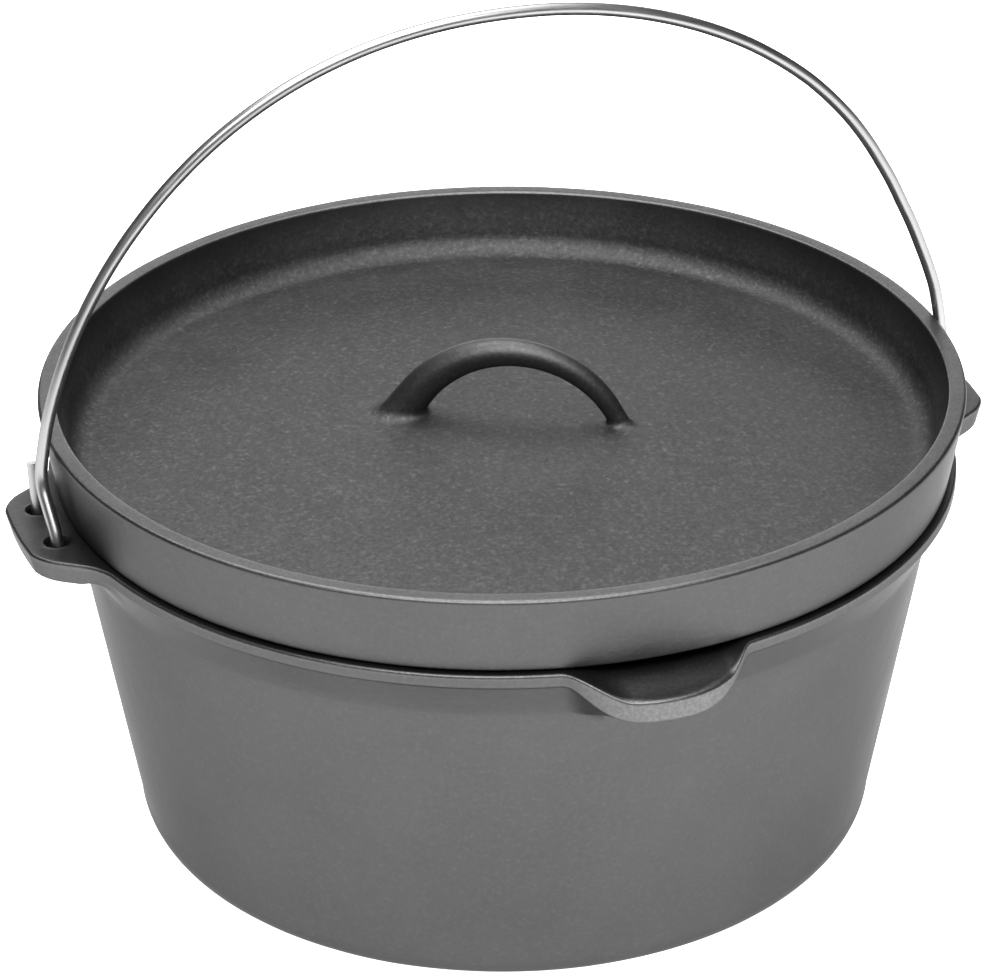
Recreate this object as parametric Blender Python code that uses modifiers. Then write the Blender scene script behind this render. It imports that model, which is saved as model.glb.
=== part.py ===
"""Cast-iron dutch oven: a pot with two ears and a pouring spout, a dished lid with a loop handle
cast on it, and a wire bail whose ends pass round the web of each ear.

The origin is the middle of the pot's base, on the table. The ears point along +X and -X, the spout
along -Y, and +Z is up. Every size below is in millimetres.
"""

import math

import bmesh
import bpy
from mathutils import Vector

MM = 0.001

# Pot
POT_HEIGHT = 111.9
RIM_RADIUS = 128.0
RIM_OVERHANG = 5.0
RIM_EDGE = 4.2
RIM_COVE = 5.0
RIM_COVE_CURVE = 1.7
POT_WALL = 4.5
POT_TAPER = 10.3
POT_FLOOR = 5.0
BASE_CORNER = 12.7
EDGE_ROUND = 0.7

# Ears
EAR_REACH = 13.8
EAR_THICKNESS = 6.8
EAR_TIP_HALF_WIDTH = 17.2
EAR_ROOT_HALF_WIDTH = 33.2
EAR_CORNER = 12.0
EAR_DRAFT = 1.2
EAR_HOLE_FROM_RIM = 4.3
EAR_HOLE_SPACING = 20.0
EAR_HOLE_PLAY = 1.45

# Pouring spout
SPOUT_HALF_WIDTH = 27.0
SPOUT_REACH = 9.8
SPOUT_DIP = 5.7
SPOUT_FACE = 6.8
SPOUT_UNDERCUT = 8.0
SPOUT_RAMP = 9.0
SPOUT_LIP_CURVE = 3.0

# Lid
LID_FOOT_INSET = 4.0
LID_FLARE = 6.0
LID_HEIGHT = 23.0
LID_BAND = 5.4
LID_DISH_DEPTH = 14.6
LID_DISH_LEAN = 2.8
LID_DISH_CORNER = 4.5
LID_DOME_RISE = 3.4
LID_PLATE = 4.5
LID_RING_DEPTH = 2.0
LID_RING_WIDTH = 4.5
LID_RING_PLAY = 5.5

# Loop handle on the lid
HANDLE_SPAN = 61.0
HANDLE_RISE = 18.8
HANDLE_THICK_END = 10.8
HANDLE_MIDDLE = 8.0
HANDLE_THIN_END = 5.6
HANDLE_FILLET = 3.0
HANDLE_TURN = -26.2
HANDLE_SHIFT = 2.8

# Bail
WIRE = 3.6
BAIL_HEIGHT = 136.4
BAIL_SIDE_GAP = 2.8
BAIL_SQUARENESS = 2.1
BAIL_LEAN = 35.0
BAIL_BEND = 7.0
BAIL_END_RISE = 12.8
BAIL_END_LEAN = 13.0

# Cast iron that only rests on cast iron is drawn this far apart
RESTING_GAP = 0.3
# How far one cast shape is sunk into another that it grows out of
SUNK = 1.2

TURN_STEPS = 72
ARC_STEPS = 5
COVE_STEPS = 4
SPOUT_STEPS = 16
HOLE_SIDES = 20
HANDLE_STEPS = 20
WIRE_SIDES = 12
WIRE_RING_STEPS = 18
ARCH_STEPS = 44

# Places worked out from the sizes above
WALL_TOP_RADIUS = RIM_RADIUS - RIM_OVERHANG
MOUTH_RADIUS = WALL_TOP_RADIUS - POT_WALL
WALL_SLOPE = math.tan(math.radians(POT_TAPER))
WALL_ACROSS = POT_WALL / math.cos(math.radians(POT_TAPER))
WALL_TOP = POT_HEIGHT - RIM_EDGE - RIM_COVE
EAR_MIDDLE = POT_HEIGHT - EAR_THICKNESS / 2
EAR_HOLE_X = RIM_RADIUS + EAR_HOLE_FROM_RIM
EAR_HOLE_RADIUS = WIRE / 2 + EAR_HOLE_PLAY
LID_BASE = POT_HEIGHT + RESTING_GAP
LID_FOOT_RADIUS = RIM_RADIUS - LID_FOOT_INSET
LID_TOP_RADIUS = LID_FOOT_RADIUS + LID_FLARE
LID_INNER_RADIUS = LID_TOP_RADIUS - LID_BAND
LID_TOP = LID_BASE + LID_HEIGHT
LID_DISH_RADIUS = LID_INNER_RADIUS - LID_DISH_LEAN
LID_DISH_MIDDLE = LID_TOP - LID_DISH_DEPTH + LID_DOME_RISE
LID_RING_RADIUS = MOUTH_RADIUS - LID_RING_PLAY
BAIL_HALF_WIDTH = LID_TOP_RADIUS + BAIL_SIDE_GAP + WIRE / 2
RING_RADIUS = EAR_HOLE_SPACING / 2


def clear_scene():
    for obj in list(bpy.data.objects):
        bpy.data.objects.remove(obj, do_unlink=True)


def new_collection(name):
    collection = bpy.data.collections.new(name)
    bpy.context.scene.collection.children.link(collection)
    return collection


def metal(name, colour, roughness, metallic):
    """A Principled material for one sub-part."""
    material = bpy.data.materials.new(name)
    material.use_nodes = True
    shader = material.node_tree.nodes["Principled BSDF"]
    shader.inputs["Base Color"].default_value = (*colour, 1.0)
    shader.inputs["Roughness"].default_value = roughness
    shader.inputs["Metallic"].default_value = metallic
    return material


def arc(centre, radius, start, end, steps=ARC_STEPS):
    """Points on a circle in a plane, from one angle to another, in degrees."""
    turns = [math.radians(start + (end - start) * i / steps) for i in range(steps + 1)]
    return [(centre[0] + radius * math.cos(t), centre[1] + radius * math.sin(t)) for t in turns]


def add_object(name, mesh, collection):
    obj = bpy.data.objects.new(name, mesh)
    collection.objects.link(obj)
    return obj


def add_cutter(name, mesh, collection):
    """A helper solid that is only cut from, or joined to, another."""
    obj = add_object(name, mesh, collection)
    obj.hide_render = True
    obj.display_type = "WIRE"
    return obj


def turned(name, profile, collection):
    """A solid turned about Z from (radius, height) points that end with the outer side, running down."""
    mesh = bpy.data.meshes.new(name)
    points = [(radius * MM, 0.0, height * MM) for radius, height in profile]
    mesh.from_pydata(points, [(i, i + 1) for i in range(len(points) - 1)], [])
    obj = add_object(name, mesh, collection)
    screw = obj.modifiers.new("Turn", "SCREW")
    screw.steps = screw.render_steps = TURN_STEPS
    screw.use_merge_vertices = True
    screw.merge_threshold = 0.01 * MM
    return obj


def loft(name, sections, collection):
    """A closed solid through outlines that have the same number of points, from the top one down."""
    built = bmesh.new()
    rings = [[built.verts.new(Vector(p) * MM) for p in outline] for outline in sections]
    count = len(rings[0])
    for upper, lower in zip(rings, rings[1:]):
        for i in range(count):
            j = (i + 1) % count
            built.faces.new((upper[i], lower[i], lower[j], upper[j]))
    built.faces.new(rings[0])
    built.faces.new(list(reversed(rings[-1])))
    bmesh.ops.recalc_face_normals(built, faces=built.faces)
    mesh = bpy.data.meshes.new(name)
    built.to_mesh(mesh)
    built.free()
    return add_cutter(name, mesh, collection)


def wire_object(name, points, collection, radii=None, diameter=WIRE, sides=WIRE_SIDES):
    """A round bar along the points. The radii, where given, are a share of half the diameter."""
    curve = bpy.data.curves.new(name, "CURVE")
    curve.dimensions = "3D"
    curve.bevel_depth = diameter / 2 * MM
    curve.bevel_resolution = (sides - 4) // 2
    curve.use_fill_caps = True
    spline = curve.splines.new("POLY")
    spline.points.add(len(points) - 1)
    for i, point in enumerate(points):
        spline.points[i].co = (*(Vector(point) * MM), 1.0)
        spline.points[i].radius = radii[i] if radii else 1.0
    return add_object(name, curve, collection)


def settled(obj):
    """The object as a plain mesh with its modifiers applied. The original is removed."""
    bpy.context.view_layer.update()
    graph = bpy.context.evaluated_depsgraph_get()
    mesh = bpy.data.meshes.new_from_object(obj.evaluated_get(graph))
    home = obj.users_collection[0]
    name = obj.name
    bpy.data.objects.remove(obj, do_unlink=True)
    mesh.name = name
    built = bmesh.new()
    built.from_mesh(mesh)
    bmesh.ops.remove_doubles(built, verts=built.verts, dist=0.001 * MM)
    bmesh.ops.recalc_face_normals(built, faces=built.faces)
    built.to_mesh(mesh)
    built.free()
    return add_object(name, mesh, home)


def combine(obj, other, operation):
    boolean = obj.modifiers.new(f"{operation.title()} {other.name}", "BOOLEAN")
    boolean.operation = operation
    boolean.solver = "EXACT"
    boolean.object = other


def finish(obj, material):
    """Applies what is live, shades the round faces smooth and gives the piece its material."""
    piece = settled(obj)
    piece.data.materials.clear()
    piece.data.materials.append(material)
    piece.data.shade_smooth()
    piece.data.set_sharp_from_angle(angle=math.radians(35))
    return piece


def wall_radius(height):
    """The pot's outer radius below the cove, where the wall is a plain cone."""
    return WALL_TOP_RADIUS - (POT_HEIGHT - RIM_EDGE - height) * WALL_SLOPE


def pot_profile():
    """Half of the pot's section, from the middle of its floor inside to the middle of its base."""
    inner_corner = BASE_CORNER - POT_WALL
    turn = 90 - POT_TAPER
    inner_low = POT_FLOOR + inner_corner
    inner_centre = (wall_radius(inner_low) - WALL_ACROSS - inner_corner, inner_low)
    outer_centre = (wall_radius(BASE_CORNER) - BASE_CORNER, BASE_CORNER)
    rim_under = POT_HEIGHT - RIM_EDGE
    profile = [(0.0, POT_FLOOR)]
    profile += arc(inner_centre, inner_corner, -90, -90 + turn)
    profile += [(MOUTH_RADIUS, rim_under), (MOUTH_RADIUS, POT_HEIGHT - EDGE_ROUND)]
    profile += [(MOUTH_RADIUS + EDGE_ROUND, POT_HEIGHT)]
    profile += arc((RIM_RADIUS - EDGE_ROUND, POT_HEIGHT - EDGE_ROUND), EDGE_ROUND, 90, 0, 2)
    profile += [(RIM_RADIUS, rim_under + EDGE_ROUND)]
    for i in range(COVE_STEPS + 1):
        share = i / COVE_STEPS
        height = rim_under - RIM_COVE * share
        bulge = (RIM_RADIUS - wall_radius(rim_under)) * (1 - share) ** RIM_COVE_CURVE
        profile.append((wall_radius(height) + bulge - EDGE_ROUND * (1 - share), height))
    profile += arc(outer_centre, BASE_CORNER, -90 + turn, -90)
    profile.append((0.0, 0.0))
    return profile


def dome_height(radius, middle):
    """The height of the lid's dome, at a distance from its middle, where it is `middle` high."""
    return middle - LID_DOME_RISE * (radius / LID_DISH_RADIUS) ** 2


def lid_profile():
    """Half of the lid's section, from the middle of its dish to the middle of its underside."""
    corner_start = LID_DISH_RADIUS - LID_DISH_CORNER
    corner_centre = (corner_start, dome_height(corner_start, LID_DISH_MIDDLE) + LID_DISH_CORNER)
    profile = [(r, dome_height(r, LID_DISH_MIDDLE)) for r in (0.0, 30.0, 60.0, 90.0)]
    profile += arc(corner_centre, LID_DISH_CORNER, -90, 0)
    profile += [(LID_INNER_RADIUS, LID_TOP - EDGE_ROUND), (LID_INNER_RADIUS + EDGE_ROUND, LID_TOP)]
    profile += arc((LID_TOP_RADIUS - EDGE_ROUND, LID_TOP - EDGE_ROUND), EDGE_ROUND, 90, 0, 2)
    profile += [(LID_FOOT_RADIUS, LID_BASE + EDGE_ROUND), (LID_FOOT_RADIUS - EDGE_ROUND, LID_BASE)]
    ring_inner = LID_RING_RADIUS - LID_RING_WIDTH
    profile += [
        (LID_RING_RADIUS, LID_BASE),
        (LID_RING_RADIUS - EDGE_ROUND, LID_BASE - LID_RING_DEPTH),
        (ring_inner, LID_BASE - LID_RING_DEPTH),
    ]
    under_middle = LID_DISH_MIDDLE - LID_PLATE
    for r in (ring_inner - LID_RING_DEPTH, 80.0, 50.0, 25.0, 0.0):
        profile.append((r, dome_height(r, under_middle)))
    return profile


def ear_outline(height, inset):
    """One ear seen from above, on the +X side, its corners rounded and its sides flaring to the pot."""
    tip = RIM_RADIUS + EAR_REACH - inset
    root = MOUTH_RADIUS + SUNK
    narrow = EAR_TIP_HALF_WIDTH - inset
    wide = EAR_ROOT_HALF_WIDTH - inset
    flare = math.atan2(wide - narrow, tip - root)
    corner_side = narrow - EAR_CORNER * (1 - math.sin(flare)) / math.cos(flare)
    side = [(root, -wide)]
    side += arc((tip - EAR_CORNER, -corner_side), EAR_CORNER, -90 + math.degrees(flare), 0)
    mirrored = [(x, -y) for x, y in reversed(side)]
    return [(x, y, height) for x, y in side + mirrored]


def ear(name, side, collection):
    """One ear, tapered downwards for casting, with softened upper and lower edges."""
    sections = []
    for height, inset in (
        (POT_HEIGHT - EDGE_ROUND / 3, EDGE_ROUND),
        (POT_HEIGHT - EDGE_ROUND, 0.0),
        (POT_HEIGHT - EAR_THICKNESS + EDGE_ROUND, EAR_DRAFT),
        (POT_HEIGHT - EAR_THICKNESS, EAR_DRAFT + EDGE_ROUND),
    ):
        outline = ear_outline(height, inset)
        sections.append([(side * x, y, z) for x, y, z in outline])
    return loft(name, sections, collection)


def ear_hole(name, x, y, collection):
    """The cutter for one of the holes that the bail passes through."""
    bpy.ops.mesh.primitive_cylinder_add(
        vertices=HOLE_SIDES,
        radius=EAR_HOLE_RADIUS * MM,
        depth=3 * EAR_THICKNESS * MM,
        location=(x * MM, y * MM, EAR_MIDDLE * MM),
    )
    hole = bpy.context.active_object
    hole.name = name
    for home in list(hole.users_collection):
        home.objects.unlink(hole)
    collection.objects.link(hole)
    hole.hide_render = True
    hole.display_type = "WIRE"
    return hole


def spout_section(height, reach, back):
    """The spout's outline from above: its lip, bulging past the rim, and an edge inside the wall."""
    half_turn = math.asin(SPOUT_HALF_WIDTH / RIM_RADIUS)
    outline = []
    for i in range(SPOUT_STEPS + 1):
        share = 2 * i / SPOUT_STEPS - 1
        radius = back + reach * (1 - abs(share) ** SPOUT_LIP_CURVE)
        turn = -math.pi / 2 + half_turn * share
        outline.append((radius * math.cos(turn), radius * math.sin(turn), height))
    inner = min(MOUTH_RADIUS + SUNK, back - SUNK)
    for i in range(SPOUT_STEPS + 1):
        turn = -math.pi / 2 + half_turn * (1 - 2 * i / SPOUT_STEPS)
        outline.append((inner * math.cos(turn), inner * math.sin(turn), height))
    return outline


def spout(collection):
    """The lip that carries the spout past the rim. Its underside slopes back into the wall."""
    lip_top = POT_HEIGHT - SPOUT_DIP
    face_low = lip_top - SPOUT_FACE
    low = face_low - SPOUT_UNDERCUT
    back = RIM_RADIUS - SUNK
    sections = [
        spout_section(POT_HEIGHT - EDGE_ROUND, SPOUT_REACH + SUNK, back),
        spout_section(lip_top, SPOUT_REACH + SUNK, back),
        spout_section(face_low + EDGE_ROUND, SPOUT_REACH + 0.5 * SUNK, back),
        spout_section(face_low, SPOUT_REACH, back - SUNK),
        spout_section(low, 0.0, wall_radius(low) - SUNK),
    ]
    return loft("spout_lip", sections, collection)


def spout_channel(collection):
    """The cutter for the dip in the rim: flat in the middle, with an S-shaped ramp at each end."""
    above = POT_HEIGHT + SPOUT_DIP
    flat = SPOUT_HALF_WIDTH - SPOUT_RAMP
    ramp = []
    for i in range(ARC_STEPS + 1):
        share = i / ARC_STEPS
        rise = SPOUT_DIP * share * share * (3 - 2 * share)
        ramp.append((flat + SPOUT_RAMP * share, POT_HEIGHT - SPOUT_DIP + rise))
    ramp.append((SPOUT_HALF_WIDTH + SUNK, POT_HEIGHT + EDGE_ROUND))
    ramp.append((SPOUT_HALF_WIDTH + SUNK, above))
    outline = [(-x, z) for x, z in reversed(ramp)] + ramp
    near = -(MOUTH_RADIUS - 2 * SPOUT_REACH)
    far = -(RIM_RADIUS + 2 * SPOUT_REACH)
    sections = [[(x, y, z) for x, z in outline] for y in (near, far)]
    return loft("spout_channel", sections, collection)


def make_pot(parts, helpers, iron):
    pot = turned("pot", pot_profile(), parts)
    for side, label in ((1, "right"), (-1, "left")):
        combine(pot, ear(f"{label}_ear", side, helpers), "UNION")
    combine(pot, spout(helpers), "UNION")
    combine(pot, spout_channel(helpers), "DIFFERENCE")
    for side, label in ((1, "right"), (-1, "left")):
        for end, place in ((1, "back"), (-1, "front")):
            hole = ear_hole(f"{label}_{place}_hole", side * EAR_HOLE_X, end * RING_RADIUS, helpers)
            combine(pot, hole, "DIFFERENCE")
    return finish(pot, iron)


def loop_handle(helpers):
    """The loop on the lid: one arc of a circle, thick at one end, with a fillet at each foot."""
    half = HANDLE_SPAN / 2
    foot = dome_height(half, LID_DISH_MIDDLE)
    radius = (half**2 + HANDLE_RISE**2) / (2 * HANDLE_RISE)
    sweep = math.degrees(math.asin(half / radius))
    points = []
    radii = []
    for i in range(-1, HANDLE_STEPS + 2):
        share = i / HANDLE_STEPS
        angle = math.radians(90 + sweep * (1 - 2 * share))
        along = radius * math.cos(angle)
        height = foot + HANDLE_RISE - radius + radius * math.sin(angle)
        if share < 0.5:
            thickness = HANDLE_THICK_END + (HANDLE_MIDDLE - HANDLE_THICK_END) * 2 * max(share, 0)
        else:
            thickness = HANDLE_MIDDLE + (HANDLE_THIN_END - HANDLE_MIDDLE) * (2 * min(share, 1) - 1)
        above_foot = max(height - foot, 0.0)
        thickness += HANDLE_FILLET * max(0.0, 1 - above_foot / HANDLE_FILLET) ** 2
        turn = math.radians(HANDLE_TURN)
        points.append((HANDLE_SHIFT + along * math.cos(turn), along * math.sin(turn), height))
        radii.append(thickness / HANDLE_MIDDLE)
    bar = wire_object("lid_handle", points, helpers, radii, HANDLE_MIDDLE)
    bar = settled(bar)
    bar.hide_render = True
    bar.display_type = "WIRE"
    return bar


def make_lid(parts, helpers, iron):
    lid = turned("lid", lid_profile(), parts)
    combine(lid, loop_handle(helpers), "UNION")
    return finish(lid, iron)


def arch_half_width(height):
    """Half the bail's width, to the wire's middle, at a height above the ears' mid-plane."""
    share = min(height / BAIL_HEIGHT, 1.0)
    return BAIL_HALF_WIDTH * (1 - share**BAIL_SQUARENESS) ** (1 / BAIL_SQUARENESS)


def rounded(corners, reach, steps=ARC_STEPS):
    """The same path with each inner corner replaced by a curve that starts and ends `reach` away."""
    path = [Vector(corners[0])]
    for before, corner, after in zip(corners, corners[1:], corners[2:]):
        before, corner, after = Vector(before), Vector(corner), Vector(after)
        start = corner + (before - corner).normalized() * reach
        end = corner + (after - corner).normalized() * reach
        for i in range(steps + 1):
            t = i / steps
            path.append(start * (1 - t) ** 2 + corner * 2 * t * (1 - t) + end * t**2)
    path.append(Vector(corners[-1]))
    return path


def bail_end():
    """The wire of one end, on the +X side, from its cut tip to where the arch begins.

    It comes down through the back hole, goes round under the web of the ear, comes up through the
    front hole and leans back to the middle, where it bends into the arch. All of it but the tip and
    the leaning part lies on a circle about the axis that the bail swings on.
    """
    lean = math.radians(BAIL_LEAN)
    tip_lean = math.radians(BAIL_END_LEAN)
    tip_rise = EAR_THICKNESS / 2 + BAIL_END_RISE
    path = []
    for rise in (tip_rise, EAR_THICKNESS / 2 + WIRE / 2):
        path.append((EAR_HOLE_X, RING_RADIUS + rise * math.tan(tip_lean), rise))
    for i in range(WIRE_RING_STEPS + 1):
        turn = -(math.pi + lean) * i / WIRE_RING_STEPS
        path.append((EAR_HOLE_X, RING_RADIUS * math.cos(turn), RING_RADIUS * math.sin(turn)))
    bend_height = RING_RADIUS / math.sin(lean)
    bend = (arch_half_width(bend_height), 0.0, bend_height)
    next_height = bend_height + BAIL_BEND
    onward = (arch_half_width(next_height), 0.0, next_height)
    bent = rounded([path[-1], bend, onward], 0.6 * BAIL_BEND)
    return [Vector(p) for p in path[:-1]] + bent[:-1]


def bail_arch():
    """The arch between the two bends, from the +X side over the top to the -X side."""
    start = RING_RADIUS / math.sin(math.radians(BAIL_LEAN)) + BAIL_BEND
    first = math.asin((start / BAIL_HEIGHT) ** (BAIL_SQUARENESS / 2))
    points = []
    for i in range(ARCH_STEPS + 1):
        turn = first + (math.pi - 2 * first) * i / ARCH_STEPS
        across = math.copysign(abs(math.cos(turn)) ** (2 / BAIL_SQUARENESS), math.cos(turn))
        height = math.sin(turn) ** (2 / BAIL_SQUARENESS)
        points.append(Vector((BAIL_HALF_WIDTH * across, 0.0, BAIL_HEIGHT * height)))
    return points


def make_bail(parts, steel):
    right = bail_end()
    left = [Vector((-p.x, p.y, p.z)) for p in reversed(right)]
    lift = Vector((0.0, 0.0, EAR_MIDDLE))
    path = [p + lift for p in right + bail_arch() + left]
    return finish(wire_object("bail", path, parts), steel)


def main():
    clear_scene()
    parts = new_collection("dutch_oven")
    helpers = new_collection("helpers")
    iron = metal("seasoned_cast_iron", (0.055, 0.055, 0.056), 0.62, 0.35)
    lid_iron = metal("seasoned_cast_iron_lid", (0.05, 0.05, 0.051), 0.62, 0.35)
    steel = metal("bright_steel_wire", (0.80, 0.80, 0.81), 0.22, 1.0)
    make_pot(parts, helpers, iron)
    make_lid(parts, helpers, lid_iron)
    make_bail(parts, steel)


main()
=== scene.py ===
"""A cast-iron dutch oven with a dished lid and a wire bail, dressed for a studio picture.

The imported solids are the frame. The pot, the lid and the bail are each made again here as one fine
closed mesh: the castings with their fillets and uneven skin, the wire with its hand-made bends. Sizes
are in millimetres, in the frame's own axes: the ears lie along X, the spout points along -Y, +Z is up.
"""

import math

import bmesh
import bpy
import numpy as np
from mathutils import Matrix, Vector
from mathutils.geometry import delaunay_2d_cdt


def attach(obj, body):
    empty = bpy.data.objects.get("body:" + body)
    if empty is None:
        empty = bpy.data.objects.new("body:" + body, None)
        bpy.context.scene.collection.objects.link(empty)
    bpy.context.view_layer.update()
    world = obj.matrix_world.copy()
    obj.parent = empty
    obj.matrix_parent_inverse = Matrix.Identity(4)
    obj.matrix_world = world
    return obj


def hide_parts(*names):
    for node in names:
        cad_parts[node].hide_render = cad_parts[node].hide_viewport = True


MM = 0.001

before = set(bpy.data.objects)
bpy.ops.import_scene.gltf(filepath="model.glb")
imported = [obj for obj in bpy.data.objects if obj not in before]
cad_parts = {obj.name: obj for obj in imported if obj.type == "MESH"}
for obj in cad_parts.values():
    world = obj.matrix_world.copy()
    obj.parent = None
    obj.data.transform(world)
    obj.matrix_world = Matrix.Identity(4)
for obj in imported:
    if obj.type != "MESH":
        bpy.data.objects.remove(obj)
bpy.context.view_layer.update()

# Pot
POT_HEIGHT = 111.9
RIM_RADIUS = 128.0
RIM_EDGE = 4.2
RIM_OVERHANG = 5.0
RIM_ROUND = 1.1
RIM_COVE = 12.0
COVE_CURVE = 1.2
WALL_TOP_RADIUS = RIM_RADIUS - RIM_OVERHANG
POT_WALL = 4.5
POT_TAPER = math.radians(10.3)
POT_FLOOR = 5.0
BASE_CORNER = 12.7
MOUTH_RADIUS = WALL_TOP_RADIUS - POT_WALL
EDGE_ROUND = 0.9

# Ears
EAR_REACH = 13.8
EAR_TIP = RIM_RADIUS + EAR_REACH
EAR_THICKNESS = 6.8
EAR_TIP_HALF_WIDTH = 17.2
EAR_ROOT_HALF_WIDTH = 33.2
EAR_CORNER = 15.0
EAR_DRAFT = 1.2
EAR_BLEND = 5.0
EAR_ROOT_RADIUS = 127.0
EAR_MIDDLE = POT_HEIGHT - EAR_THICKNESS / 2
EAR_HOLE_OUT = 4.3
EAR_HOLE_X = RIM_RADIUS + EAR_HOLE_OUT
EAR_HOLE_RADIUS = 3.25
RING_RADIUS = 10.0

# Pouring spout
SPOUT_HALF_WIDTH = 27.0
SPOUT_REACH = 9.8
SPOUT_DIP = 5.7
SPOUT_FACE = 6.8
SPOUT_UNDERCUT = 6.0
SPOUT_RAMP_LEFT = 17.0
SPOUT_RAMP_RIGHT = 9.0
SPOUT_CURVE = 2.2
SPOUT_START_INSET = 1.2
SPOUT_BLEND = 1.5
TROUGH_START = 4.0

# Lid
RESTING_GAP = 0.3
LID_HEIGHT = 23.0
LID_FOOT_INSET = 1.8
LID_FOOT_ROUND = 0.8
LID_OVERHANG = 2.0
LID_BAND = 5.4
LID_DISH_LEAN = 2.8
LID_DISH_DEPTH = 12.8
LID_DISH_CORNER = 6.5
BRIM_ROUND = 1.2
LID_DOME_RISE = 5.4
LID_PLATE = 4.5
LID_RING_PLAY = 5.5
LID_BASE = POT_HEIGHT + RESTING_GAP
LID_TOP = LID_BASE + LID_HEIGHT
LID_FOOT_RADIUS = RIM_RADIUS - LID_FOOT_INSET
LID_TOP_RADIUS = RIM_RADIUS + LID_OVERHANG
LID_INNER_RADIUS = LID_TOP_RADIUS - LID_BAND
LID_DISH_RADIUS = LID_INNER_RADIUS - LID_DISH_LEAN
LID_DISH_MIDDLE = LID_TOP - LID_DISH_DEPTH
LID_RING_RADIUS = MOUTH_RADIUS - LID_RING_PLAY
LID_RING_WIDTH = 4.5
LID_RING_DEPTH = 2.0
LID_PATCH_RADIUS = 56.0

# Loop handle
HANDLE_SPAN = 61.0
HANDLE_RISE = 20.4
HANDLE_THICK_END = 10.8
HANDLE_MIDDLE = 8.0
HANDLE_THIN_END = 5.6
HANDLE_TURN = math.radians(-26.2)
HANDLE_SHIFT = 2.8
THICK_FOOT_FILLET = 3.6
THIN_FOOT_FILLET = 2.4

# Bail
WIRE = 3.6
WIRE_SIDES = 28
DRAWN_LENGTH = 40.0
BAIL_HEIGHT = 136.4
BAIL_SIDE_GAP = 2.8
BAIL_HALF_WIDTH = LID_TOP_RADIUS + BAIL_SIDE_GAP + WIRE / 2
BAIL_SQUARENESS = 2.1
BAIL_LEAN = math.radians(35.0)
BAIL_BEND = 7.0
BAIL_END_RISE = 12.8
BAIL_END_LEAN = math.radians(13.0)
BEND_HEIGHTS = (34.0, 48.0, 62.0, 76.0, 90.0, 104.0, 118.0, 132.0)
BEND_RIGHT = (0.0, -1.1, -1.6, -1.1, -0.1, 0.6, 0.6, 0.0)
BEND_LEFT = (0.0, 0.3, 0.6, 0.9, 1.1, 1.0, 0.6, 0.0)

# Cast skin: waves left by the mould, and shallow pits left by its sand
WAVE_DEPTH = 0.22
WAVE_LENGTH = 32.0
PIT_DEPTH = 0.05
PIT_LENGTH = 3.5
CLOSED_SAND = 0.2
SHARP_EDGE = 50

# Studio
FLOOR_HALF_WIDTH = 6000.0
GLOW_LEFT = 0.95
GLOW_RIGHT = 1.9
AIR = 0.12
OVERHEAD_WATTS = 27.0
BACK_WATTS = 11.0
SCREEN_WATTS = 22.0
FRONT_WATTS = 38.0


# Mesh helpers


def smooth_step(x):
    x = np.clip(x, 0.0, 1.0)
    return x * x * (3 - 2 * x)


def soft_max(a, b, blend):
    """The larger of two sizes, with a fillet where they cross."""
    overlap = np.maximum(blend - np.abs(a - b), 0.0)
    return np.maximum(a, b) + overlap**2 / (4 * blend)


def arc(centre, radius, start, end, steps):
    """Points on a circle in a plane, from one angle to another, in degrees."""
    turns = np.radians(np.linspace(start, end, steps + 1))
    return [(centre[0] + radius * math.cos(t), centre[1] + radius * math.sin(t)) for t in turns]


def new_object(name, data):
    obj = bpy.data.objects.new(name, data)
    bpy.context.scene.collection.objects.link(obj)
    return obj


def mesh_object(name, points, faces):
    """An object whose mesh has these points, in millimetres, and faces."""
    mesh = bpy.data.meshes.new(name)
    mesh.from_pydata([tuple(p) for p in np.asarray(points, float) * MM], [], faces)
    return new_object(name, mesh)


def make_plain(obj):
    """Applies the modifiers of an object and leaves it with a plain mesh."""
    bpy.context.view_layer.update()
    graph = bpy.context.evaluated_depsgraph_get()
    mesh = bpy.data.meshes.new_from_object(obj.evaluated_get(graph))
    mesh.name = obj.name
    obj.modifiers.clear()
    if obj.type == "MESH":
        obj.data = mesh
        return obj
    name = obj.name
    bpy.data.objects.remove(obj, do_unlink=True)
    return new_object(name, mesh)


def close_up(obj, distance=0.002):
    """Merges doubled points and turns all faces outwards."""
    built = bmesh.new()
    built.from_mesh(obj.data)
    bmesh.ops.remove_doubles(built, verts=built.verts, dist=distance * MM)
    bmesh.ops.recalc_face_normals(built, faces=built.faces)
    if built.calc_volume(signed=True) < 0:
        bmesh.ops.reverse_faces(built, faces=built.faces)
    built.to_mesh(obj.data)
    built.free()


def joined(name, *objects):
    """One object from the meshes of several."""
    built = bmesh.new()
    for obj in objects:
        built.from_mesh(obj.data)
        bpy.data.objects.remove(obj, do_unlink=True)
    mesh = bpy.data.meshes.new(name)
    built.to_mesh(mesh)
    built.free()
    return new_object(name, mesh)


def cut(obj, cutter):
    boolean = obj.modifiers.new(f"Cut {cutter.name}", "BOOLEAN")
    boolean.operation = "DIFFERENCE"
    boolean.solver = "EXACT"
    boolean.object = cutter


def shade(obj, sharp_degrees):
    """Smooth shading, with an edge kept sharp where two faces meet at more than this angle."""
    obj.data.shade_smooth()
    obj.data.set_sharp_from_angle(angle=math.radians(sharp_degrees))


def grid_faces(rows, columns, wrap):
    """Faces of a grid of points, row by row. The last row joins the first where it wraps."""
    faces = []
    for i in range(rows if wrap else rows - 1):
        j = (i + 1) % rows
        for k in range(columns - 1):
            faces.append((i * columns + k, j * columns + k, j * columns + k + 1, i * columns + k + 1))
    return faces


# Geometry node trees


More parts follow.
